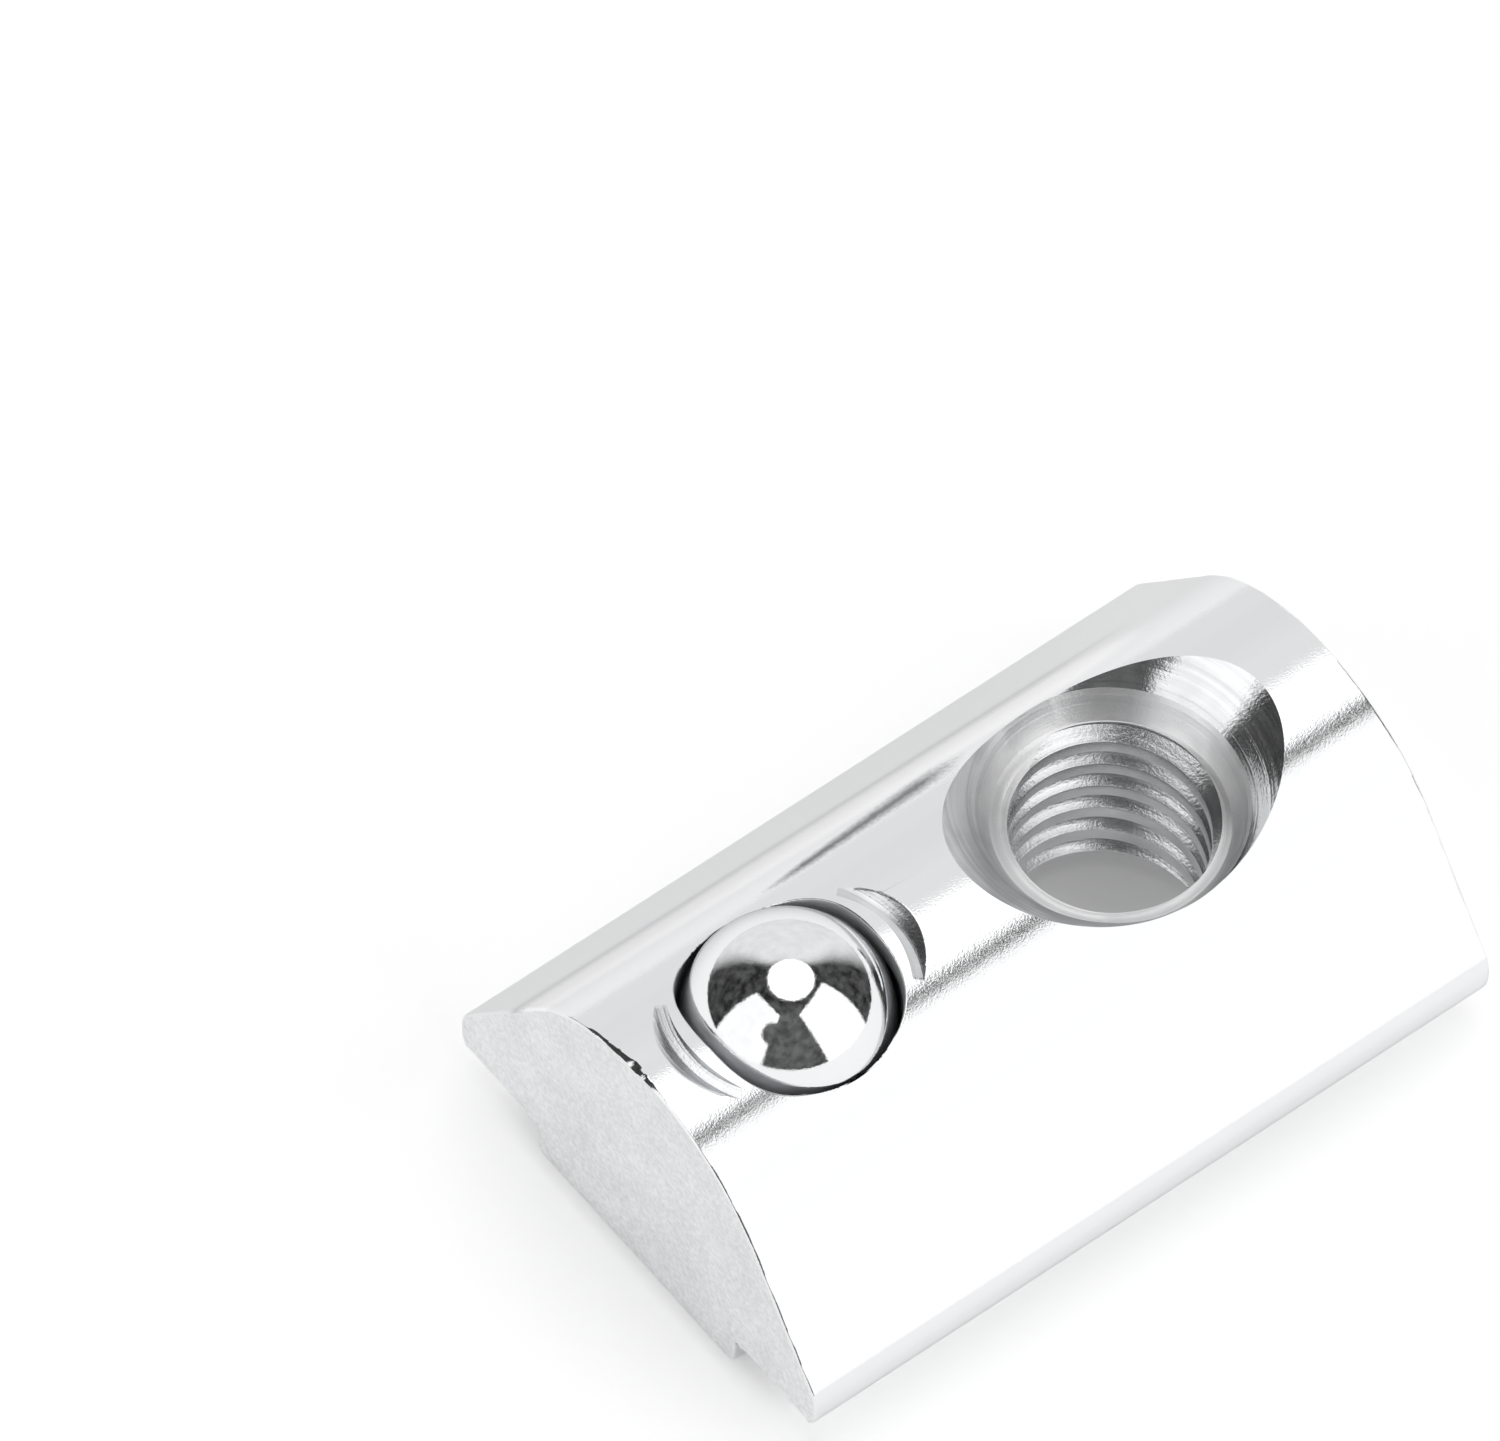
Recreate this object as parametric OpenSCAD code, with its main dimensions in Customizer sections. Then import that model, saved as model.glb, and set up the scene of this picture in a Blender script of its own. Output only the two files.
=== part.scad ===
// Half-round roll-in T-slot nut with a spring-loaded ball, for an 8 mm slot and an M6 screw.
// Frame: millimetres, +Z up. The origin is where the screw axis crosses the neck face,
// X runs along the nut and the round back faces up.

/* [Body] */
// Length of the nut
nut_len = 21.5; // [20.5:0.1:23]
// Greatest width, across the two sides
nut_w = 14.3; // [13.9:0.1:14.8]
// Height from the neck face to the crest of the round back
nut_h = 8.15; // [7.9:0.05:8.6]
// Radius of the round crest
crest_r = 5.5; // [5.2:0.1:5.8]
// Height of the lower end of each sloping flank
flank_base_z = 2.2; // [2:0.05:2.5]
// Radius of the rounded corner under each side
side_corner_r = 0.55; // [0.3:0.05:0.7]

/* [Neck] */
// Width of the neck that enters the slot
neck_w = 7.9; // [7.6:0.1:8]
// Height of the neck, from its face to the two shoulders
neck_h = 1.05; // [0.9:0.05:1.2]
// Radius of the neck's long edges
neck_edge_r = 0.2; // [0.1:0.05:0.3]
// Radius of the fillet between the neck and each shoulder
neck_root_r = 0.25; // [0.15:0.05:0.35]

/* [Threaded hole] */
// Distance from the screw axis to the nearer end of the nut
thread_end_x = 6.7; // [6:0.1:7]
// Bore of the hole, at the crests of the M6 thread
thread_bore_d = 5.15; // [5.05:0.01:5.2]
// Diameter of the countersink on the neck face
neck_sink_d = 6.9; // [6.4:0.1:7.1]
// Diameter of the countersink, at the height of the crest
back_sink_d = 9.4; // [8.8:0.1:9.8]
// Full angle of both countersinks
sink_angle = 90; // [88:1:100]
// Diameter at which the countersink on the round back gives way to the steeper lead-in
lead_d = 7; // [6.8:0.1:7.4]
// Full angle of the lead-in
lead_angle = 60; // [56:1:70]
// Diameter at the foot of the lead-in, where a flat step leads in to the thread
step_d = 6.1; // [6:0.05:6.3]
// Full angle of the step
step_angle = 136; // [125:1:150]

/* [Ball and pocket] */
// Distance from the ball axis to the other end of the nut
ball_end_x = 4.55; // [4.3:0.05:4.7]
// Diameter of the ball
ball_d = 5.5; // [5.46:0.01:5.54]
// Height of the ball above the crest
ball_proud = 1.4; // [1.35:0.05:1.5]
// Gap between the ball and the wall of its pocket
ball_gap = 0.09; // [0.05:0.01:0.1]
// Height of the shoulder of the pocket, above its drill point
pocket_floor_z = 2.2; // [2.1:0.05:2.4]
// Full angle of the drill point
drill_angle = 118; // [114:1:130]

/* [Staking] */
// How far each staked lip reaches over the pocket
lip_reach = 0.2; // [0.18:0.01:0.22]
// Gap between the ball and the lips that hold it
lip_gap = 0.006; // [0.004:0.001:0.01]
// Diameter of the pocket's mouth between the lips, at the height of the crest
mouth_d = 5.75; // [5.65:0.05:5.8]
// Outer diameter of the ring punch
punch_d = 7.35; // [7:0.05:7.6]
// Inner diameter of the ring punch
punch_bore_d = 6.15; // [6.1:0.05:6.3]
// Depth of the punch mark at its outer edge
punch_depth = 0.34; // [0.28:0.01:0.4]
// Depth of the punch mark at its inner edge
punch_inner_depth = 0.2; // [0.15:0.01:0.24]
// Width of the flat at the bottom of the punch mark
punch_flat = 0.15; // [0.05:0.05:0.25]

/* [Spring] */
// Diameter of the spring wire
wire_d = 0.3; // [0.28:0.01:0.33]
// Mean diameter of the coils
coil_d = 3.9; // [3.8:0.05:4]
// Number of working turns
working_turns = 2; // [1.5:0.5:2]
// Gap between the spring and what it presses on
seat_gap = 0.01; // [0.005:0.005:0.02]

/* [Hidden] */
$fn = 96;

steel_colour = "#C9CCCF";
ball_colour = "#E4E7EA";
spring_colour = "#A9ADB2";

// Cutters run this far past what they cut
cut_over = 1;

// Body: the flank is the line from the side that touches the crest's circle
half_w = nut_w / 2;
crest_z = nut_h - crest_r;
side_reach = norm([half_w, flank_base_z - crest_z]);
touch_angle = atan2(flank_base_z - crest_z, half_w) + acos(crest_r / side_reach);
touch_y = crest_r * cos(touch_angle);
touch_z = crest_z + crest_r * sin(touch_angle);
left_x = thread_end_x - nut_len;

// Countersinks: on the round back a steeper lead-in runs on down to a step above the thread
sink_slope = tan(sink_angle / 2);
thread_r = thread_bore_d / 2;
lead_r = lead_d / 2;
neck_sink_depth = (neck_sink_d / 2 - thread_r) / sink_slope;
back_sink_depth = (back_sink_d / 2 - lead_r) / sink_slope;
step_r = step_d / 2;
lead_depth = (lead_r - step_r) / tan(lead_angle / 2);
step_depth = (step_r - thread_r) / tan(step_angle / 2);
sink_over_r = cut_over * sink_slope;

// Ball and pocket: the lips touch the ball where its section is as wide as their opening
ball_r = ball_d / 2;
ball_x = left_x + ball_end_x;
ball_z = nut_h + ball_proud - ball_r;
pocket_r = ball_r + ball_gap;
lip_r = pocket_r - lip_reach;
lip_z = ball_z + sqrt(ball_r * ball_r - lip_r * lip_r) + lip_gap;
lip_h = nut_h - lip_z;
mouth_r = mouth_d / 2;
mouth_over_r = cut_over * (mouth_r - lip_r) / lip_h;
lip_half_w = sqrt(pocket_r * pocket_r - lip_r * lip_r) + lip_r / 3;
point_depth = pocket_r / tan(drill_angle / 2);

// Punch mark
punch_r = punch_d / 2;
punch_bore_r = punch_bore_d / 2;

// Spring: the lowest turn lies on the drill point's cone and the highest under the ball
wire_r = wire_d / 2;
coil_r = coil_d / 2;
cone_z = pocket_floor_z - (pocket_r - coil_r) / tan(drill_angle / 2);
spring_low_z = cone_z + (wire_r + seat_gap) / sin(drill_angle / 2);
ball_contact = ball_r + wire_r + seat_gap;
spring_high_z = ball_z - sqrt(ball_contact * ball_contact - coil_r * coil_r);
closed_pitch = wire_d + seat_gap;
all_turns = working_turns + 2;
working_pitch = (spring_high_z - spring_low_z - 2 * closed_pitch) / working_turns;
turn_steps = 36;
wire_steps = 10;

// Height of the wire's centre line after a number of turns
function coil_z(turn) =
    spring_low_z
    + closed_pitch * min(turn, 1)
    + working_pitch * min(max(turn - 1, 0), working_turns)
    + closed_pitch * max(turn - 1 - working_turns, 0);

// One ring of points round the wire
function wire_ring(turn) = [
    for (step = [0:wire_steps - 1])
        let (
            around = 360 * step / wire_steps,
            reach = coil_r + wire_r * cos(around)
        )
        [reach * cos(360 * turn), reach * sin(360 * turn), coil_z(turn) + wire_r * sin(around)]
];

// Half of the outline below the flank, on the +Y side
module side_half() {
    polygon([
        [0, neck_h],
        [half_w - side_corner_r, neck_h],
        [half_w, neck_h + side_corner_r],
        [half_w, flank_base_z],
        [touch_y, touch_z],
        [0, touch_z]
    ]);
    translate([half_w - side_corner_r, neck_h + side_corner_r]) circle(r = side_corner_r);
}

// Half of the neck, with its rounded edge and the fillet at its root
module neck_half() {
    half_neck = neck_w / 2;
    translate([0, neck_edge_r]) square([half_neck, neck_h]);
    square([half_neck - neck_edge_r, neck_h]);
    translate([half_neck - neck_edge_r, neck_edge_r]) circle(r = neck_edge_r);
    difference() {
        translate([half_neck - neck_edge_r, neck_h - neck_root_r])
            square([neck_edge_r + neck_root_r, neck_root_r + neck_edge_r]);
        translate([half_neck + neck_root_r, neck_h - neck_root_r]) circle(r = neck_root_r);
    }
}

// Round crest, kept above the line where the flanks touch it
module crest() {
    intersection() {
        translate([0, crest_z]) circle(r = crest_r);
        translate([-touch_y, touch_z]) square([2 * touch_y, nut_h]);
    }
}

// The bar's section, in Y and Z
module section() {
    crest();
    for (side = [0, 1]) mirror([side, 0]) {
        side_half();
        neck_half();
    }
}

// Bore and both countersinks of the threaded hole
module screw_hole() {
    translate([0, 0, -cut_over]) cylinder(h = nut_h + 2 * cut_over, r = thread_r);
    translate([0, 0, -cut_over])
        cylinder(
            h = neck_sink_depth + cut_over,
            r1 = neck_sink_d / 2 + sink_over_r,
            r2 = thread_r
        );
    translate([0, 0, nut_h - back_sink_depth]) {
        cylinder(
            h = back_sink_depth + cut_over,
            r1 = lead_r,
            r2 = back_sink_d / 2 + sink_over_r
        );
        translate([0, 0, -lead_depth]) {
            cylinder(h = lead_depth, r1 = step_r, r2 = lead_r);
            translate([0, 0, -step_depth]) cylinder(h = step_depth, r1 = thread_r, r2 = step_r);
        }
    }
}

// Blind pocket with a drill point, open between the two lips
module pocket() {
    difference() {
        union() {
            translate([0, 0, pocket_floor_z]) cylinder(h = nut_h, r = pocket_r);
            translate([0, 0, pocket_floor_z - point_depth])
                cylinder(h = point_depth, r1 = 0, r2 = pocket_r);
        }
        translate([-nut_w, -lip_half_w, lip_z]) cube([2 * nut_w, 2 * lip_half_w, nut_h]);
    }
    translate([0, 0, lip_z])
        cylinder(h = lip_h + cut_over, r1 = lip_r, r2 = mouth_r + mouth_over_r);
}

// Ring that the punch pressed into the crest, which pushes the lips over the ball
module punch_mark() {
    rotate_extrude()
        polygon([
            [punch_bore_r, nut_h - punch_inner_depth],
            [punch_r - punch_flat, nut_h - punch_depth],
            [punch_r, nut_h - punch_depth],
            [punch_r, nut_h + cut_over],
            [punch_bore_r, nut_h + cut_over]
        ]);
}

module nut_body() {
    color(steel_colour)
        difference() {
            translate([left_x, 0, 0])
                rotate([90, 0, 90]) linear_extrude(height = nut_len) section();
            screw_hole();
            translate([ball_x, 0, 0]) {
                pocket();
                punch_mark();
            }
        }
}

module ball() {
    color(ball_colour) translate([ball_x, 0, ball_z]) sphere(r = ball_r);
}

// Coil spring with one closed turn at each end
module spring() {
    rings = all_turns * turn_steps;
    last = rings * wire_steps;
    color(spring_colour)
        translate([ball_x, 0, 0])
            polyhedron(
                points = [for (ring = [0:rings]) each wire_ring(ring / turn_steps)],
                faces = [
                    [for (step = [0:wire_steps - 1]) step],
                    [for (step = [0:wire_steps - 1]) last + wire_steps - 1 - step],
                    for (ring = [0:rings - 1], step = [0:wire_steps - 1])
                        let (
                            here = ring * wire_steps,
                            next = (step + 1) % wire_steps
                        )
                        [
                            here + step,
                            here + wire_steps + step,
                            here + wire_steps + next,
                            here + next
                        ]
                ],
                convexity = 10
            );
}

nut_body();
ball();
spring();
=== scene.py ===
"""Half-round roll-in T-slot nut with its spring-loaded ball, lying on a white table."""

import math

import bmesh
import bpy
from mathutils import Matrix, Vector, noise


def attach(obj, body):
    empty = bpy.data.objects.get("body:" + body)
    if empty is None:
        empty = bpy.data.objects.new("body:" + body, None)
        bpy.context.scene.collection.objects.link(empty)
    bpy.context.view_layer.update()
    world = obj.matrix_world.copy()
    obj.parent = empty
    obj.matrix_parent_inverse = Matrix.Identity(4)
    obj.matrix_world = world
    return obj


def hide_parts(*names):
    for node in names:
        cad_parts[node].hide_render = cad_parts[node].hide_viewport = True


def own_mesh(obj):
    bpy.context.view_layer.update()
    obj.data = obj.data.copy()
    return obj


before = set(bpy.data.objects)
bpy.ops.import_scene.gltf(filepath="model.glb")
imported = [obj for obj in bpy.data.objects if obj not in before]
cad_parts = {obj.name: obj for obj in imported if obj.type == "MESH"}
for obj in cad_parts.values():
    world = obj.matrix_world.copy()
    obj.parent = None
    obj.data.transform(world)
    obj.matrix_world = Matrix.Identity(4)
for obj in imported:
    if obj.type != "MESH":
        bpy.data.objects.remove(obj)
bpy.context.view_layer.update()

MM = 0.001
PER_MM = 1 / MM

# Bar, in mm: the same sizes as the solids, with X along the nut and Z up to the round back
LEFT_X, RIGHT_X = -14.8, 6.7
HALF_W = 7.15
NECK_H, HALF_NECK = 1.05, 3.95
FLANK_BASE = 2.2
NUT_H, CREST_R = 8.15, 5.5
CREST_Z = NUT_H - CREST_R
# The flank's line touches the crest's circle here
TOUCH_Y, TOUCH_Z = 4.4352, 5.9025
TOUCH_ANGLE = math.atan2(TOUCH_Y, TOUCH_Z - CREST_Z)
SIDE_CORNER_R, FLANK_CORNER_R = 0.55, 0.3
NECK_EDGE_R, NECK_ROOT_R = 0.2, 0.25
END_EDGE_R = 0.08
# The saw's marks reach this far along the bar
END_BAND = 0.2

# Threaded hole: M6 with a pitch of 1 mm, on the Z axis
PITCH = 1.0
THREAD_MINOR_R, THREAD_MAJOR_R = 2.575, 3.0
BACK_SINK_R, LEAD_R, STEP_R, NECK_SINK_R = 4.7, 3.5, 3.05, 3.45
LEAD_ANGLE, STEP_ANGLE = math.radians(60), math.radians(136)
THREAD_PHASE = math.radians(252)

# Ball, pocket and staking
BALL_X, BALL_Z, BALL_R = -10.25, 6.8, 2.75
POCKET_R, POCKET_FLOOR, POCKET_POINT = 2.84, 2.2, 0.4935
LIP_R, LIP_Z, LIP_H = 2.64, 7.576, 0.35
# The staked lips narrow the mouth at its two ends along the bar, and it is widest on the slants between
LIP_TOP_R, MOUTH_R = 2.68, 2.92
# The punch leaves a floor that is nearly flat and a sloping outer wall
PUNCH_IN_R, PUNCH_FLOOR_R, PUNCH_OUT_R = 3.08, 3.36, 3.75
PUNCH_IN_Z, PUNCH_OUT_Z = 7.93, 7.87

# Spring
WIRE_R, COIL_R = 0.15, 1.95
SPRING_LOW, SPRING_HIGH = 1.8519, 4.64
CLOSED_PITCH, WORKING_TURNS = 0.31, 2

# The die's raised line on the far side of the back, and a dark reflection painted along the back, by their
# place across the bar
LINE_Y, LINE_DRIFT, LINE_END_X = 4.4, -0.0235, 3.2
PAINTED_REFLECTION_Y, PAINTED_REFLECTION_DRIFT, PAINTED_REFLECTION_START_X, PAINTED_REFLECTION_END_X = 3.5, 0.055, -8.2, -2.6

# Every round tool starts this far round, so that none of its points lies on the nut's middle plane
TOOL_TURN = math.radians(0.37)

# Cuts run this far past the bar
OVER = 1.0
# A point this near the drawn surface lies on it
ON_SURFACE = 0.004
# Edges sharper than the first angle are rounded, and those sharper than the second stay creased
ROUNDED_ANGLE, CREASE_ANGLE = math.radians(20), math.radians(38)
# Custom normals stay within this angle of what the mesh gives
NORMAL_ANGLE = math.radians(40)

# Broken edge at the left end: where it is deepest, how far it spreads across the bar, and its size
CHIP_Y, CHIP_SPREAD_FAR, CHIP_SPREAD_NEAR = 0.4, 1.5, 0.8
CHIP_REACH, CHIP_DROP = 0.18, 0.13

# Blender's noise is seldom outside these levels
NOISE_LOW, NOISE_HIGH = 0.35, 0.65

# Camera
LENS_MM = 720.0
SENSOR_MM = 36.0


# Materials


def linear(hex_colour):
    """An sRGB hex colour as linear RGBA."""
    parts = [int(hex_colour[i : i + 2], 16) / 255 for i in (1, 3, 5)]
    return [c / 12.92 if c <= 0.04045 else ((c + 0.055) / 1.055) ** 2.4 for c in parts] + [1.0]


def add_node(tree, kind, inputs=None, **settings):
    """Adds a node; inputs maps sockets to values, to outputs, or to nodes whose first output is meant."""
    node = tree.nodes.new(kind)
    for name, value in settings.items():
        setattr(node, name, value)
    for socket, value in (inputs or {}).items():
        if isinstance(value, bpy.types.Node):
            value = value.outputs[0]
        if isinstance(value, bpy.types.NodeSocket):
            tree.links.new(value, node.inputs[socket])
        else:
            node.inputs[socket].default_value = value
    return node


def new_finish(name):
    """A material with an empty tree, and its place on the object."""
    material = bpy.data.materials.new(name)
    material.use_nodes = True
    tree = material.node_tree
    tree.nodes.clear()
    return material, tree, add_node(tree, "ShaderNodeTexCoord").outputs["Object"]


def line_along_bar(tree, axes, middle, drift, half_widths, start, end, fade):
    """1 on the middle of a line along the bar, 0 away from it and past its ends; it may drift and widen."""
    middle_y = add_node(
        tree, "ShaderNodeMath", {0: axes["X"], 1: drift, 2: middle * MM}, operation="MULTIPLY_ADD"
    )
    off = add_node(tree, "ShaderNodeMath", {0: axes["Y"], 1: middle_y}, operation="SUBTRACT")
    off = add_node(tree, "ShaderNodeMath", {0: off}, operation="ABSOLUTE")
    widths = {0: axes["X"], 1: start * MM, 2: end * MM, 3: half_widths[0] * MM, 4: half_widths[1] * MM}
    half_width = add_node(tree, "ShaderNodeMapRange", widths)
    core = add_node(tree, "ShaderNodeMapRange", {0: off, 1: 0, 2: half_width, 3: 1, 4: 0})
    for edge, before, after in ((start, 0, 1), (end, 1, 0)):
        reach = {0: axes["X"], 1: (edge - fade) * MM, 2: (edge + fade) * MM, 3: before, 4: after}
        ending = add_node(tree, "ShaderNodeMapRange", reach)
        core = add_node(tree, "ShaderNodeMath", {0: core, 1: ending}, operation="MULTIPLY")
    return core


def plated_skin():
    """Bright zinc plate on drawn steel: a mirror with a fine grain, the die's raised line with a painted
    highlight and a painted shadow beside it, and one painted dark reflection.
    """
    material, tree, place = new_finish("bright_zinc_plate")
    axes = add_node(tree, "ShaderNodeSeparateXYZ", {0: place}).outputs
    # The plate's own grain is a few microns, too fine to show, so it is drawn 0.06 mm wide
    fine = {"Vector": place, "Scale": PER_MM / 0.06, "Detail": 2, "Roughness": 0.7}
    grain = add_node(tree, "ShaderNodeTexNoise", fine)
    peel = add_node(tree, "ShaderNodeTexNoise", {"Vector": place, "Scale": PER_MM / 0.7, "Detail": 3})
    # Draw lines are 0.2 mm apart and some mm long
    along = add_node(tree, "ShaderNodeMapping", {"Vector": place, "Scale": (0.05, 1, 1)})
    draw = add_node(tree, "ShaderNodeTexNoise", {"Vector": along, "Scale": PER_MM / 0.2, "Detail": 2})
    # The die's line is raised, with a painted highlight strip on one side and a painted shadow line on the
    # other
    die_line, painted_highlight, painted_line_shadow = (
        line_along_bar(tree, axes, LINE_Y + aside, LINE_DRIFT, (half, half), LEFT_X - 2, LINE_END_X, fade=1.5)
        for aside, half in ((0, 0.14), (-0.45, 0.6), (0.35, 0.3))
    )
    painted_highlight = add_node(tree, "ShaderNodeMapRange", {0: painted_highlight, 1: 0.15, 2: 0.5, 3: 0, 4: 1})
    # Painted reflection: a dark streak along the back, broken up by noise
    painted_reflection = line_along_bar(tree, axes, PAINTED_REFLECTION_Y, PAINTED_REFLECTION_DRIFT, (0.2, 0.5), PAINTED_REFLECTION_START_X, PAINTED_REFLECTION_END_X, fade=0.9)
    uneven = add_node(tree, "ShaderNodeTexNoise", {"Vector": place, "Scale": PER_MM / 0.12, "Detail": 3})
    painted_reflection = add_node(tree, "ShaderNodeMath", {0: uneven, 1: 0.5, 2: painted_reflection}, operation="MULTIPLY_ADD")
    painted_dark = add_node(tree, "ShaderNodeMapRange", {0: painted_reflection, 1: 0.4, 2: 1.15, 3: 0, 4: 1})
    # Painted shadow: a dark line on the far side of the die's line
    painted_line_shadow = add_node(tree, "ShaderNodeMath", {0: painted_line_shadow, 1: 0.4}, operation="MULTIPLY")
    painted_dark = add_node(tree, "ShaderNodeMath", {0: painted_dark, 1: painted_line_shadow}, operation="MAXIMUM")
    # Painted highlight: the strip beside the die's line gets a lighter colour
    highlighted = {0: painted_highlight, 6: linear("#EDEEEF"), 7: linear("#FCFCFD")}
    colour = add_node(tree, "ShaderNodeMix", highlighted, data_type="RGBA").outputs[2]
    # Painted shade: the dark reflection and the die line's shadow darken the colour
    darkened = {0: painted_dark, 6: colour, 7: linear("#828486")}
    colour = add_node(tree, "ShaderNodeMix", darkened, data_type="RGBA").outputs[2]
    normal = add_node(tree, "ShaderNodeBump", {"Height": peel, "Distance": 0.002 * MM})
    for height, depth_mm in ((draw, 0.0003), (die_line, 0.012), (grain, 0.0032)):
        raised = {"Height": height, "Distance": depth_mm * MM, "Normal": normal}
        normal = add_node(tree, "ShaderNodeBump", raised)
    rough = add_node(tree, "ShaderNodeMapRange", {0: peel, 1: NOISE_LOW, 2: NOISE_HIGH, 3: 0.06, 4: 0.11})
    # Zinc reflects a little less just before grazing, which darkens the far flank
    metal = add_node(
        tree,
        "ShaderNodeBsdfPrincipled",
        {
            "Base Color": colour,
            "Metallic": 1.0,
            "Roughness": rough,
            "Specular Tint": linear("#E2E2E2"),
            "Normal": normal,
        },
    )
    add_node(tree, "ShaderNodeOutputMaterial", {0: metal})
    return material


def sawn_end():
    """Zinc plate over a sawn end: duller than the drawn skin, with a mottled grain."""
    material, tree, place = new_finish("zinc_plate_on_sawn_end")
    # The saw's own grain is finer than shows, so it is drawn 0.14 mm wide
    fine = {"Vector": place, "Scale": PER_MM / 0.14, "Detail": 4, "Roughness": 0.65}
    mottle = add_node(tree, "ShaderNodeTexNoise", fine)
    patches = add_node(tree, "ShaderNodeTexNoise", {"Vector": place, "Scale": PER_MM / 1.2, "Detail": 4})
    uneven = add_node(tree, "ShaderNodeMath", {0: patches, 1: 0.3, 2: mottle}, operation="MULTIPLY_ADD")
    share = add_node(tree, "ShaderNodeMapRange", {0: uneven, 1: 0.45, 2: 0.85, 3: 0, 4: 1})
    shades = {0: share, 6: linear("#D8D9DA"), 7: linear("#F3F4F5")}
    colour = add_node(tree, "ShaderNodeMix", shades, data_type="RGBA").outputs[2]
    normal = add_node(tree, "ShaderNodeBump", {"Height": mottle, "Distance": 0.0085 * MM})
    rough = add_node(tree, "ShaderNodeMapRange", {0: mottle, 1: 0.3, 2: 0.7, 3: 0.36, 4: 0.52})
    metal = add_node(
        tree,
        "ShaderNodeBsdfPrincipled",
        {"Base Color": colour, "Metallic": 1.0, "Roughness": rough, "Normal": normal},
    )
    add_node(tree, "ShaderNodeOutputMaterial", {0: metal})
    return material


def turned_face(name, centre_x, line_mm, depth_mm, grain_mm, groove, crest, roughness):
    """Zinc plate over a tool's marks: fine uneven circles round an upright axis, duller towards -X.

    groove and crest are colours, and roughness is that of the clear side and of the dull side.
    """
    material, tree, place = new_finish(name)
    flat = add_node(tree, "ShaderNodeVectorMath", {0: place, 1: (1, 1, 0)}, operation="MULTIPLY")
    radius = add_node(
        tree, "ShaderNodeVectorMath", {0: flat, 1: (centre_x * MM, 0, 0)}, operation="DISTANCE"
    ).outputs["Value"]
    circles = add_node(
        tree,
        "ShaderNodeTexNoise",
        {"W": radius, "Scale": PER_MM / line_mm, "Detail": 3, "Roughness": 0.6},
        noise_dimensions="1D",
    )
    patches = add_node(tree, "ShaderNodeTexNoise", {"Vector": place, "Scale": PER_MM / 1.5, "Detail": 2})
    strength = add_node(tree, "ShaderNodeMapRange", {0: patches, 1: NOISE_LOW, 2: NOISE_HIGH, 3: 0.35, 4: 1})
    circles = add_node(tree, "ShaderNodeMath", {0: circles, 1: strength}, operation="MULTIPLY")
    fine = {"Vector": place, "Scale": PER_MM / 0.08, "Detail": 2, "Roughness": 0.6}
    grain = add_node(tree, "ShaderNodeTexNoise", fine)
    worn = add_node(tree, "ShaderNodeMapRange", {0: circles, 1: 0.1, 2: 0.5, 3: 0, 4: 1})
    shades = {0: worn, 6: linear(groove), 7: linear(crest)}
    colour = add_node(tree, "ShaderNodeMix", shades, data_type="RGBA").outputs[2]
    normal = add_node(tree, "ShaderNodeBump", {"Height": circles, "Distance": depth_mm * MM})
    raised = {"Height": grain, "Distance": grain_mm * MM, "Normal": normal}
    normal = add_node(tree, "ShaderNodeBump", raised)
    along = add_node(tree, "ShaderNodeSeparateXYZ", {0: place})
    dull = {0: along, 1: (centre_x - 1) * MM, 2: (centre_x + 1) * MM, 3: roughness[1], 4: roughness[0]}
    rough = add_node(tree, "ShaderNodeMapRange", dull)
    rough = add_node(tree, "ShaderNodeMath", {0: grain, 1: 0.1, 2: rough}, operation="MULTIPLY_ADD")
    metal = add_node(
        tree,
        "ShaderNodeBsdfPrincipled",
        {"Base Color": colour, "Metallic": 1.0, "Roughness": rough, "Normal": normal},
    )
    add_node(tree, "ShaderNodeOutputMaterial", {0: metal})
    return material


def polished_ball():
    """Ground and polished bearing steel: a clear mirror with faint handling specks."""
    material, tree, place = new_finish("polished_bearing_steel")
    fine = {"Vector": place, "Scale": PER_MM / 0.09, "Detail": 3, "Roughness": 0.6}
    specks = add_node(tree, "ShaderNodeTexNoise", fine)
    haze = add_node(tree, "ShaderNodeTexNoise", {"Vector": place, "Scale": PER_MM / 0.5, "Detail": 3})
    normal = add_node(tree, "ShaderNodeBump", {"Height": specks, "Distance": 0.0012 * MM})
    rough = add_node(tree, "ShaderNodeMapRange", {0: haze, 1: 0.45, 2: 0.7, 3: 0.02, 4: 0.08})
    metal = add_node(
        tree,
        "ShaderNodeBsdfPrincipled",
        {
            "Base Color": linear("#F1F2F3"),
            "Metallic": 1.0,
            "Roughness": rough,
            "Specular Tint": linear("#D0D0D0"),
            "Normal": normal,
        },
    )
    add_node(tree, "ShaderNodeOutputMaterial", {0: metal})
    return material


def spring_wire():
    """Drawn spring wire: grey, with fine lines."""
    material, tree, place = new_finish("drawn_spring_wire")
    lines = add_node(tree, "ShaderNodeTexNoise", {"Vector": place, "Scale": PER_MM / 0.05, "Detail": 2})
    normal = add_node(tree, "ShaderNodeBump", {"Height": lines, "Distance": 0.003 * MM})
    rough = add_node(tree, "ShaderNodeMapRange", {0: lines, 1: 0.3, 2: 0.7, 3: 0.25, 4: 0.4})
    metal = add_node(
        tree,
        "ShaderNodeBsdfPrincipled",
        {"Base Color": linear("#B4B7BA"), "Metallic": 1.0, "Roughness": rough, "Normal": normal},
    )
    add_node(tree, "ShaderNodeOutputMaterial", {0: metal})
    return material


# Mesh helpers, all in mm


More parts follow.
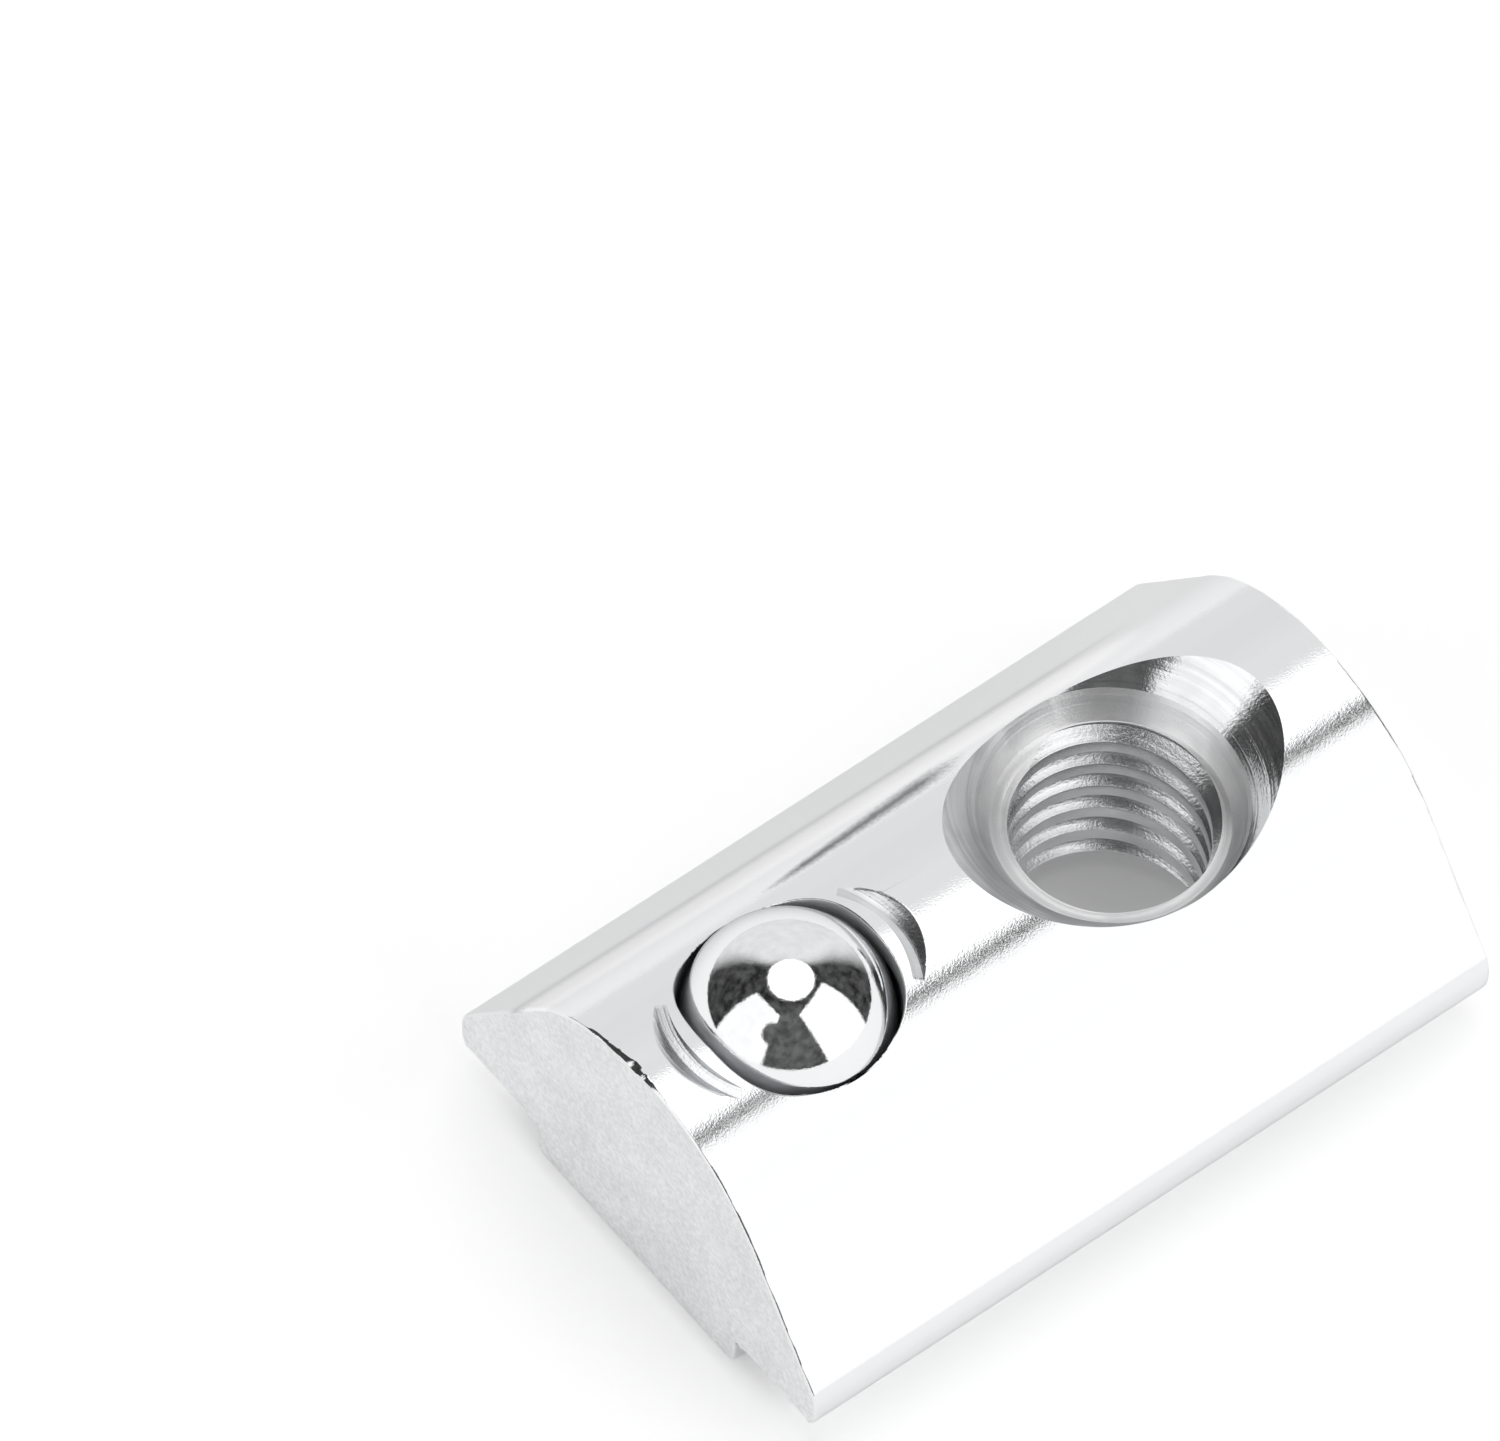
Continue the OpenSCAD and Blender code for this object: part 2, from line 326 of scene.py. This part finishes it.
def as_object(bm, name, *materials):
    """An object with this mesh."""
    bmesh.ops.recalc_face_normals(bm, faces=bm.faces[:])
    mesh = bpy.data.meshes.new(name)
    bm.to_mesh(mesh)
    bm.free()
    for material in materials:
        mesh.materials.append(material)
    thing = bpy.data.objects.new(name, mesh)
    bpy.context.scene.collection.objects.link(thing)
    return thing


def chain(bm, points):
    """Points joined by edges, in the X-Z plane."""
    verts = [bm.verts.new((x, 0, z)) for x, z in points]
    return verts + [bm.edges.new(pair) for pair in zip(verts, verts[1:])]


def turned(name, profile, centre_x, material, steps=160):
    """A solid turned round an upright axis, from a profile of radius and height that closes on the axis."""
    bm = bmesh.new()
    bmesh.ops.spin(
        bm,
        geom=chain(bm, profile),
        cent=(0, 0, 0),
        axis=(0, 0, 1),
        angle=math.tau,
        steps=steps,
        use_merge=True,
    )
    bmesh.ops.remove_doubles(bm, verts=bm.verts[:], dist=1e-5)
    bmesh.ops.rotate(bm, verts=bm.verts[:], cent=(0, 0, 0), matrix=Matrix.Rotation(TOOL_TURN, 3, "Z"))
    bmesh.ops.translate(bm, verts=bm.verts[:], vec=(centre_x, 0, 0))
    return as_object(bm, name, material)


def apply_modifiers(thing):
    """Keeps what its modifiers make of it."""
    depsgraph = bpy.context.evaluated_depsgraph_get()
    shaped = bpy.data.meshes.new_from_object(thing.evaluated_get(depsgraph), depsgraph=depsgraph)
    thing.modifiers.clear()
    thing.data = shaped


def cut(blank, tool):
    """Takes the tool's shape out of the blank, whose new faces get the tool's material."""
    change = blank.modifiers.new("cut", "BOOLEAN")
    change.operation = "DIFFERENCE"
    change.solver = "EXACT"
    change.material_mode = "TRANSFER"
    change.object = tool
    apply_modifiers(blank)
    bpy.data.objects.remove(tool)


def drawn_normal(point):
    """The drawn bar's own normal at this place in mm, or None away from its round back and flanks."""
    outward = Vector((0, point.y, point.z - CREST_Z))
    if point.z > TOUCH_Z:
        normal = outward.normalized()
    else:
        normal = Vector((0, math.copysign(math.sin(TOUCH_ANGLE), point.y), math.cos(TOUCH_ANGLE)))
    return normal if abs(outward.dot(normal) - CREST_R) < ON_SURFACE else None


def round_edges(thing, width, segments, near, burr=0.0):
    """Rounds the sharp edges whose middle passes the test, and roughens them by up to the burr's height."""
    bm = bmesh.new()
    bm.from_mesh(thing.data)
    bmesh.ops.remove_doubles(bm, verts=bm.verts[:], dist=0.002)

    def rim():
        """The sharp edges there."""
        return [
            edge
            for edge in bm.edges
            if len(edge.link_faces) == 2
            and edge.calc_face_angle(0) > ROUNDED_ANGLE
            and near((edge.verts[0].co + edge.verts[1].co) / 2)
        ]

    # Points closer than a rounding's width would fold it over
    crowded = list({vert for edge in rim() for vert in edge.verts})
    bmesh.ops.remove_doubles(bm, verts=crowded, dist=width * 0.2)
    rounded = bmesh.ops.bevel(
        bm,
        geom=rim(),
        offset=width,
        offset_type="OFFSET",
        segments=segments,
        profile=0.5,
        affect="EDGES",
        material=-1,
    )
    for vert in rounded["verts"]:
        if drawn_normal(vert.co) is None:
            vert.co += noise.noise_vector(vert.co * 3) * burr
    bm.to_mesh(thing.data)
    bm.free()


def back_height(y):
    """Height of the round back and its flanks at this distance from the middle."""
    if abs(y) < TOUCH_Y:
        return CREST_Z + math.sqrt(CREST_R**2 - y * y)
    return TOUCH_Z - (abs(y) - TOUCH_Y) * (TOUCH_Z - FLANK_BASE) / (HALF_W - TOUCH_Y)


# Pieces


def bar_outline(bm):
    """The bar's outline at its left end, as edges."""
    half = [
        (0, 0),
        (HALF_NECK, 0),
        (HALF_NECK, NECK_H),
        (HALF_W, NECK_H),
        (HALF_W, FLANK_BASE),
        (TOUCH_Y, TOUCH_Z),
    ]
    verts = [bm.verts.new((LEFT_X, y, z)) for y, z in half]
    for pair in zip(verts, verts[1:]):
        bm.edges.new(pair)
    bmesh.ops.spin(
        bm,
        geom=[verts[-1]],
        cent=(LEFT_X, 0, CREST_Z),
        axis=(1, 0, 0),
        angle=TOUCH_ANGLE,
        steps=54,
    )
    long_edges = [e for e in bm.edges if e.calc_length() > 2]
    bmesh.ops.subdivide_edges(bm, edges=long_edges, cuts=13)
    bmesh.ops.mirror(bm, geom=bm.verts[:] + bm.edges[:], axis="Y", merge_dist=1e-4)


def wear_end(bm):
    """Makes the end edges slightly ragged, and breaks the left one at the crest."""
    for vert in bm.verts:
        inset = min(vert.co.x - LEFT_X, RIGHT_X - vert.co.x)
        if inset > END_EDGE_R * 1.01:
            continue
        outward = Vector((0, vert.co.y, vert.co.z - CREST_Z))
        depth = CREST_R - outward.length
        if vert.co.x < 0 and vert.co.z > TOUCH_Z and depth < END_EDGE_R * 1.01:
            share = math.atan2(inset, depth) / (math.pi / 2)
            spread = CHIP_SPREAD_FAR if vert.co.y > CHIP_Y else CHIP_SPREAD_NEAR
            uneven = 0.45 + 0.65 * abs(noise.noise(vert.co * 2.3)) * 2
            broken = min(1.0, math.exp(-(((vert.co.y - CHIP_Y) / spread) ** 2)) * uneven)
            chip = Vector((LEFT_X + CHIP_REACH * share, vert.co.y, vert.co.z))
            level = outward.normalized() * (CREST_R - CHIP_DROP * (1 - share))
            chip.y, chip.z = level.y, level.z + CREST_Z
            vert.co = vert.co.lerp(chip, broken)
        ragged = noise.noise_vector(vert.co * 1.7) * 0.03 + noise.noise_vector(vert.co * 5) * 0.015
        # The inner edge of the rounding stays on the drawn surface and only wanders along it
        share = min(1, inset / END_EDGE_R)
        lift = 2 * share * (1 - share)
        vert.co += Vector((ragged.x * share, ragged.y * lift, ragged.z * lift))
        vert.co.z = max(vert.co.z, 0)


def bar(material, end_material):
    """The drawn bar cut to length, with rounded corners and slightly ragged end edges."""
    bm = bmesh.new()
    bar_outline(bm)
    section = bmesh.ops.contextual_create(bm, geom=bm.edges[:])["faces"]
    swept = bmesh.ops.extrude_face_region(bm, geom=section)["geom"]
    far = [g for g in swept if isinstance(g, bmesh.types.BMVert)]
    bmesh.ops.translate(bm, verts=far, vec=(RIGHT_X - LEFT_X, 0, 0))
    bmesh.ops.recalc_face_normals(bm, faces=bm.faces[:])
    for y, z, radius in (
        (HALF_W, NECK_H, SIDE_CORNER_R),
        (HALF_NECK, 0, NECK_EDGE_R),
        (HALF_NECK, NECK_H, NECK_ROOT_R),
        (HALF_W, FLANK_BASE, FLANK_CORNER_R),
    ):
        corner = [
            e
            for e in bm.edges
            if all(abs(abs(v.co.y) - y) < 1e-3 and abs(v.co.z - z) < 1e-3 for v in e.verts)
        ]
        bmesh.ops.bevel(
            bm,
            geom=corner,
            offset=radius,
            offset_type="OFFSET",
            segments=6,
            profile=0.5,
            affect="EDGES",
            material=-1,
        )
    for face in bm.faces:
        face.material_index = 1 if abs(face.normal.x) > 0.9 else 0
    outline = [
        e
        for e in bm.edges
        if abs(e.verts[0].co.x - e.verts[1].co.x) < 1e-6 and e.calc_face_angle(0) > 1.2
    ]
    bmesh.ops.bevel(
        bm,
        geom=outline,
        offset=END_EDGE_R,
        offset_type="OFFSET",
        segments=4,
        profile=0.5,
        affect="EDGES",
        material=0,
    )
    # Short faces along the bar keep a cut's traces in the shine short
    rows = 16
    pitch = (RIGHT_X - LEFT_X - 2 * END_BAND) / rows
    for x in (LEFT_X + END_BAND + pitch * row for row in range(rows + 1)):
        bmesh.ops.bisect_plane(
            bm, geom=bm.verts[:] + bm.edges[:] + bm.faces[:], plane_co=(x, 0, 0), plane_no=(1, 0, 0)
        )
    wear_end(bm)
    return as_object(bm, "nut", material, end_material)


def screw_tool(material):
    """A right-hand screw with flat crests and roots: one turn's profile swept up a helix."""
    flank = (THREAD_MAJOR_R - THREAD_MINOR_R) * math.tan(math.radians(30))
    # The drilled bore leaves the nut's own crests this wide, and the tap's roots are an eighth of the pitch
    root = PITCH * 7 / 8 - 2 * flank
    soft = 0.03
    low, turns, per_turn = -2.0, 12, 96
    # The screw ends past the neck face and past the crest
    ends = ((-0.7, -1), (8.9, 1))
    bm = bmesh.new()
    profile = [
        (THREAD_MINOR_R, 0),
        (THREAD_MINOR_R, root - soft),
        (THREAD_MINOR_R + soft / 2, root + soft / 2),
        (THREAD_MAJOR_R - soft / 2, root + flank - soft / 2),
        (THREAD_MAJOR_R, root + flank + soft),
        (THREAD_MAJOR_R, PITCH - flank - soft),
        (THREAD_MAJOR_R - soft / 2, PITCH - flank + soft / 2),
        (THREAD_MINOR_R + soft / 2, PITCH - soft / 2),
        (THREAD_MINOR_R, PITCH),
    ]
    bmesh.ops.spin(
        bm,
        geom=chain(bm, [(r, z + low) for r, z in profile]),
        cent=(0, 0, 0),
        axis=(0, 0, 1),
        dvec=(0, 0, PITCH / per_turn),
        angle=math.tau * turns,
        steps=per_turn * turns,
    )
    bmesh.ops.remove_doubles(bm, verts=bm.verts[:], dist=1e-3)
    for height, side in ends:
        bmesh.ops.bisect_plane(
            bm,
            geom=bm.verts[:] + bm.edges[:] + bm.faces[:],
            plane_co=(0, 0, height),
            plane_no=(0, 0, side),
            clear_outer=True,
        )
        rim = [e for e in bm.edges if e.is_boundary and all(abs(v.co.z - height) < 1e-4 for v in e.verts)]
        bmesh.ops.edgeloop_fill(bm, edges=rim)
    bmesh.ops.rotate(bm, verts=bm.verts[:], cent=(0, 0, 0), matrix=Matrix.Rotation(THREAD_PHASE, 3, "Z"))
    return as_object(bm, "screw_tool", material)


def pocket_tool(material, top):
    """The drilled pocket, whose mouth is widest between the lips and the flanks."""
    tool = turned(
        "pocket_tool",
        [
            (0, POCKET_POINT),
            (POCKET_R, POCKET_FLOOR),
            (POCKET_R, LIP_Z - LIP_H),
            (LIP_R, LIP_Z),
            (LIP_TOP_R, NUT_H),
            (LIP_TOP_R, top),
            (0, top),
        ],
        BALL_X,
        material,
    )
    for vert in tool.data.vertices:
        reach = math.hypot(vert.co.x - BALL_X, vert.co.y)
        if vert.co.z < LIP_Z - 0.01 or reach < LIP_R - 0.01:
            continue
        slant = 2 * abs(vert.co.x - BALL_X) * abs(vert.co.y) / reach**2
        open_r = POCKET_R if vert.co.z < NUT_H - 0.01 else MOUTH_R
        size = 1 + (open_r / reach - 1) * slant**2
        vert.co.x = BALL_X + (vert.co.x - BALL_X) * size
        vert.co.y *= size
    return tool


def make_nut():
    """The bar with its pocket, staking marks, countersinks and thread."""
    skin = plated_skin()
    nut = bar(skin, sawn_end())
    # The drill that made the lead-in left it duller than the sink, and plate hardly reaches into the pocket
    sink_face, lead_face, thread_face, punched_face, pocket_face = (
        turned_face(*look)
        for look in (
            ("zinc_plate_on_countersink", 0, 0.16, 0.011, 0.004, "#D6D7D9", "#F8F9FA", (0.09, 0.42)),
            ("zinc_plate_on_drilled_lead_in", 0, 0.2, 0.03, 0.006, "#E6E7E8", "#FEFEFE", (0.34, 0.42)),
            ("zinc_plate_on_cut_thread", 0, 0.1, 0.006, 0.008, "#D2D3D5", "#F0F1F2", (0.16, 0.22)),
            ("zinc_plate_on_punched_ring", BALL_X, 0.14, 0.012, 0.004, "#D2D3D5", "#F0F1F2", (0.16, 0.2)),
            ("dull_steel_in_drilled_pocket", BALL_X, 0.1, 0.006, 0.006, "#CFD0D2", "#E2E3E4", (0.45, 0.45)),
        )
    )

    top = NUT_H + OVER
    lead_z = NUT_H - (BACK_SINK_R - LEAD_R)
    lead_slope = math.tan(LEAD_ANGLE / 2)
    step_z = lead_z - (LEAD_R - STEP_R) / lead_slope
    point_z = step_z - STEP_R / math.tan(STEP_ANGLE / 2)
    wall_slope = (PUNCH_OUT_R - PUNCH_FLOOR_R) / (NUT_H - PUNCH_OUT_Z)
    # The punch's own turning marks: low ripples over its floor
    ripple_h, steps = 0.006, 8
    ripples = [
        (
            PUNCH_FLOOR_R + (PUNCH_IN_R - PUNCH_FLOOR_R) * i / steps,
            PUNCH_OUT_Z + (PUNCH_IN_Z - PUNCH_OUT_Z) * i / steps + (ripple_h if i % 2 else 0),
        )
        for i in range(steps + 1)
    ]
    for tool in (
        pocket_tool(pocket_face, top),
        turned(
            "punch_tool",
            [*ripples, (PUNCH_IN_R, top), (PUNCH_OUT_R + OVER * wall_slope, top), ripples[0]],
            BALL_X,
            punched_face,
        ),
        turned(
            "lead_tool",
            [(0, point_z), (STEP_R, step_z), (LEAD_R + OVER * lead_slope, lead_z + OVER), (0, lead_z + OVER)],
            0,
            lead_face,
        ),
        turned(
            "back_sink_tool",
            [(0, lead_z - LEAD_R), (BACK_SINK_R + OVER, top), (0, top)],
            0,
            sink_face,
        ),
        turned(
            "neck_sink_tool",
            [(0, NECK_SINK_R), (NECK_SINK_R + OVER, -OVER), (0, -OVER)],
            0,
            sink_face,
        ),
        screw_tool(thread_face),
    ):
        cut(nut, tool)

    def on_back(point, near, far):
        """True on the round back, between two distances from the ball's axis."""
        level = abs(point.z - back_height(point.y)) < 0.03
        return level and near < math.hypot(point.x - BALL_X, point.y) < far

    def on_step(point):
        """True on the circle where the lead-in meets the step."""
        return abs(point.z - step_z) < 0.02 and abs(math.hypot(point.x, point.y) - STEP_R) < 0.02

    def on_neck_rim(point):
        """True on the rim of the neck's countersink."""
        return abs(point.z) < 0.01 and math.hypot(point.x, point.y) < NECK_SINK_R + 0.15

    # The rims of the pocket's mouth and of the punch mark, the step and the neck's countersink
    round_edges(nut, 0.05, 3, lambda point: on_back(point, 2.6, 2.95), burr=0.005)
    round_edges(nut, 0.05, 2, lambda point: on_back(point, 3.5, 3.8))
    round_edges(nut, 0.04, 2, on_step)
    round_edges(nut, 0.05, 2, on_neck_rim)
    return nut


def finish_mesh(piece):
    """Metres, and smooth shading with sharp creases kept."""
    bm = bmesh.new()
    bm.from_mesh(piece.data)
    bmesh.ops.remove_doubles(bm, verts=bm.verts[:], dist=0.001)
    bmesh.ops.dissolve_degenerate(bm, edges=bm.edges[:], dist=0.0005)
    bmesh.ops.scale(bm, verts=bm.verts[:], vec=(MM, MM, MM))
    bm.to_mesh(piece.data)
    bm.free()
    piece.data.shade_smooth()
    piece.data.set_sharp_from_angle(angle=CREASE_ANGLE)


def lead_normals(piece):
    """Normals led by the larger faces, and the bar's own on its back, so that cuts don't mark the shine."""
    change = piece.modifiers.new("normals", "WEIGHTED_NORMAL")
    change.mode = "FACE_AREA"
    change.weight = 100
    change.keep_sharp = True
    apply_modifiers(piece)
    mesh = piece.data
    normals = [corner.vector.copy() for corner in mesh.corner_normals]
    for loop in mesh.loops:
        true = drawn_normal(mesh.vertices[loop.vertex_index].co / MM)
        if true is not None and true.dot(normals[loop.index]) > math.cos(NORMAL_ANGLE):
            normals[loop.index] = true
    mesh.normals_split_custom_set(normals)


def make_ball():
    """The ball, a sphere of even small facets."""
    bm = bmesh.new()
    bmesh.ops.create_icosphere(bm, subdivisions=6, radius=BALL_R)
    bmesh.ops.translate(bm, verts=bm.verts[:], vec=(BALL_X, 0, BALL_Z))
    return as_object(bm, "detent_ball", polished_ball())


def make_spring():
    """The coil spring: a closed turn, the working turns and a closed turn, swept from a ring of wire."""
    bm = bmesh.new()
    ring = bmesh.ops.create_circle(bm, segments=14, radius=WIRE_R)["verts"]
    bmesh.ops.rotate(bm, verts=ring, cent=(0, 0, 0), matrix=Matrix.Rotation(math.pi / 2, 3, "X"))
    bmesh.ops.translate(bm, verts=ring, vec=(COIL_R, 0, SPRING_LOW))
    working = (SPRING_HIGH - SPRING_LOW - 2 * CLOSED_PITCH) / WORKING_TURNS
    end = ring + list({e for v in ring for e in v.link_edges})
    first = list(end)
    for turns, pitch in ((1, CLOSED_PITCH), (WORKING_TURNS, working), (1, CLOSED_PITCH)):
        steps = round(48 * turns)
        end = bmesh.ops.spin(
            bm,
            geom=end,
            cent=(0, 0, 0),
            axis=(0, 0, 1),
            dvec=(0, 0, pitch * turns / steps),
            angle=math.tau * turns,
            steps=steps,
        )["geom_last"]
    for loop in (first, end):
        bmesh.ops.edgeloop_fill(bm, edges=[g for g in loop if isinstance(g, bmesh.types.BMEdge)])
    bmesh.ops.translate(bm, verts=bm.verts[:], vec=(BALL_X, 0, 0))
    return as_object(bm, "coil_spring", spring_wire())


# Stage


def make_camera():
    """A long lens, so that the nut shows almost no perspective."""
    data = bpy.data.cameras.new("camera")
    data.sensor_width = SENSOR_MM
    data.lens = LENS_MM
    data.clip_start, data.clip_end = 0.05, 20
    camera = bpy.data.objects.new("camera", data)
    bpy.context.scene.collection.objects.link(camera)
    right = Vector((0.7863, -0.6170, 0.0328)).normalized()
    up = Vector((0.5026, 0.6695, 0.5470)).normalized()
    back = right.cross(up).normalized()
    up = back.cross(right)
    turn = Matrix((right, up, back)).transposed().to_4x4()
    camera.matrix_world = Matrix.Translation(Vector((-274.48, -301.94, 632.55)) * MM) @ turn
    bpy.context.scene.camera = camera


def make_floor():
    """White table top that keeps the soft shadow, with a painted shadow under the nut, and looks white to the
    camera and to the metal.
    """
    bm = bmesh.new()
    bmesh.ops.create_grid(bm, x_segments=2, y_segments=2, size=3)
    mesh = bpy.data.meshes.new("table")
    bm.to_mesh(mesh)
    bm.free()
    floor = bpy.data.objects.new("table", mesh)
    bpy.context.scene.collection.objects.link(floor)
    material = bpy.data.materials.new("white_table")
    material.use_nodes = True
    tree = material.node_tree
    tree.nodes.clear()
    path = add_node(tree, "ShaderNodeLightPath").outputs
    seen = path["Is Camera Ray"]
    for kind in ("Is Glossy Ray", "Is Transmission Ray"):
        seen = add_node(tree, "ShaderNodeMath", {0: seen, 1: path[kind]}, operation="MAXIMUM")
    # The glow is painted lower under the nut and its shoulders, also where the table shows through its hole:
    # a painted shadow
    place = add_node(tree, "ShaderNodeTexCoord").outputs["Object"]
    axes = add_node(tree, "ShaderNodeSeparateXYZ", {0: place}).outputs
    painted_table_shadow = 1.0
    aside = HALF_NECK + 0.8
    for axis, low, high, soft in (("X", LEFT_X, RIGHT_X, 0.4), ("Y", -aside, aside, 1.2)):
        middle, half = (low + high) / 2, (high - low) / 2
        off = add_node(tree, "ShaderNodeMath", {0: axes[axis], 1: middle * MM}, operation="SUBTRACT")
        off = add_node(tree, "ShaderNodeMath", {0: off}, operation="ABSOLUTE")
        edge = {0: off, 1: (half - soft) * MM, 2: (half + soft) * MM, 3: 1, 4: 0}
        fade = add_node(tree, "ShaderNodeMapRange", edge)
        painted_table_shadow = add_node(tree, "ShaderNodeMath", {0: painted_table_shadow, 1: fade}, operation="MULTIPLY")
    glow = add_node(tree, "ShaderNodeMapRange", {0: painted_table_shadow, 1: 0, 2: 1, 3: 0.42, 4: 0.14})
    glow = add_node(tree, "ShaderNodeMath", {0: seen, 1: glow}, operation="MULTIPLY")
    white = add_node(
        tree,
        "ShaderNodeBsdfPrincipled",
        {
            "Base Color": linear("#ECECEC"),
            "Roughness": 0.9,
            "Specular IOR Level": 0.1,
            "Emission Color": linear("#FFFFFF"),
            "Emission Strength": glow,
        },
    )
    add_node(tree, "ShaderNodeOutputMaterial", {0: white})
    mesh.materials.append(material)


def soft_panel(tree, way, bearing, tilt, half_w, low, high, side_soft, top_soft, strength):
    """A flat light panel far off, by bearing and tilt in degrees, and its reach as slopes from its middle."""
    a, e = math.radians(bearing), math.radians(tilt)
    facing = (math.cos(e) * math.cos(a), math.cos(e) * math.sin(a), math.sin(e))
    aside = (-math.sin(a), math.cos(a), 0)
    upward = (-math.sin(e) * math.cos(a), -math.sin(e) * math.sin(a), math.cos(e))
    ahead, across, rise = (
        add_node(tree, "ShaderNodeVectorMath", {0: way, 1: axis}, operation="DOT_PRODUCT").outputs["Value"]
        for axis in (facing, aside, upward)
    )
    ahead = add_node(tree, "ShaderNodeMath", {0: ahead, 1: 0.001}, operation="MAXIMUM")
    across = add_node(tree, "ShaderNodeMath", {0: across, 1: ahead}, operation="DIVIDE")
    across = add_node(tree, "ShaderNodeMath", {0: across}, operation="ABSOLUTE")
    rise = add_node(tree, "ShaderNodeMath", {0: rise, 1: ahead}, operation="DIVIDE")
    level = strength
    for slope, edge, soft, inside, outside in (
        (across, half_w, side_soft, 1, 0),
        (rise, low, 0.05, 0, 1),
        (rise, high, top_soft, 1, 0),
    ):
        reach = {0: slope, 1: edge - soft, 2: edge + soft, 3: inside, 4: outside}
        fade = add_node(tree, "ShaderNodeMapRange", reach, interpolation_type="SMOOTHSTEP")
        level = add_node(tree, "ShaderNodeMath", {0: level, 1: fade}, operation="MULTIPLY")
    return level


def round_patch(tree, way, bearing, height, radius, soft, strength):
    """A round patch far off, by its bearing, height and radius in degrees."""
    a, e = math.radians(bearing), math.radians(height)
    middle = (math.cos(e) * math.cos(a), math.cos(e) * math.sin(a), math.sin(e))
    near = add_node(tree, "ShaderNodeVectorMath", {0: way, 1: middle}, operation="DOT_PRODUCT")
    near = near.outputs["Value"]
    inside, outside = (math.cos(math.radians(r)) for r in (radius - soft, radius + soft))
    reach = {0: near, 1: outside, 2: inside, 3: 0, 4: strength}
    return add_node(tree, "ShaderNodeMapRange", reach, interpolation_type="SMOOTHSTEP")


def make_studio():
    """Soft studio light: two soft boxes, a pale backdrop and a round light overhead, and dark gaps."""
    world = bpy.data.worlds.new("studio")
    world.use_nodes = True
    tree = world.node_tree
    tree.nodes.clear()
    way = add_node(tree, "ShaderNodeTexCoord").outputs["Generated"]
    boxes = {"low": -3, "side_soft": 0.03, "top_soft": 0.03}
    right_box = soft_panel(tree, way, -67, 27, half_w=0.49, high=0.77, strength=1.13, **boxes)
    left_box = soft_panel(tree, way, 181, 9, half_w=0.5, high=1.26, strength=1.06, **boxes)
    # The camera stands before the left soft box and hides a round bit of it
    camera_shade = round_patch(tree, way, -148, 36, radius=12, soft=1.5, strength=-1.0)
    left_box = add_node(
        tree, "ShaderNodeMath", {0: left_box, 1: camera_shade, 2: left_box}, operation="MULTIPLY_ADD"
    )
    backdrop = soft_panel(
        tree, way, 53, -10, half_w=1.25, low=-3, high=3.4, side_soft=0.55, top_soft=1.2, strength=0.8
    )
    dim_wall = round_patch(tree, way, -125, 30, radius=35, soft=12, strength=0.06)
    # The dim room behind the lights is uneven, as any room is
    room = add_node(tree, "ShaderNodeTexNoise", {"Vector": way, "Scale": 7, "Detail": 4, "Roughness": 0.6})
    room = add_node(tree, "ShaderNodeMapRange", {0: room, 1: 0.38, 2: 0.65, 3: 0.02, 4: 0.11})
    overhead = round_patch(tree, way, 43, 83, radius=23, soft=1.3, strength=1.5)
    total = add_node(tree, "ShaderNodeMath", {0: right_box, 1: left_box}, operation="ADD")
    total = add_node(tree, "ShaderNodeMath", {0: total, 1: backdrop}, operation="ADD")
    total = add_node(tree, "ShaderNodeMath", {0: total, 1: overhead}, operation="MAXIMUM")
    total = add_node(tree, "ShaderNodeMath", {0: total, 1: dim_wall}, operation="ADD")
    total = add_node(tree, "ShaderNodeMath", {0: total, 1: room}, operation="ADD")
    seen = add_node(tree, "ShaderNodeLightPath").outputs["Is Camera Ray"]
    level = add_node(tree, "ShaderNodeMix", {0: seen, 2: total, 3: 1.0}, data_type="FLOAT")
    light = add_node(tree, "ShaderNodeBackground", {"Color": linear("#FFFFFF"), "Strength": level})
    add_node(tree, "ShaderNodeOutputWorld", {0: light})
    bpy.context.scene.world = world


make_camera()
make_floor()
make_studio()

nut = make_nut()
finish_mesh(nut)
lead_normals(nut)
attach(nut, "nut")
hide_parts("nut_body")

ball = make_ball()
finish_mesh(ball)
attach(ball, "ball")
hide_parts("ball")

spring = make_spring()
finish_mesh(spring)
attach(spring, "nut")
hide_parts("spring")
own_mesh(spring)

bpy.context.scene.view_settings.view_transform = "Standard"
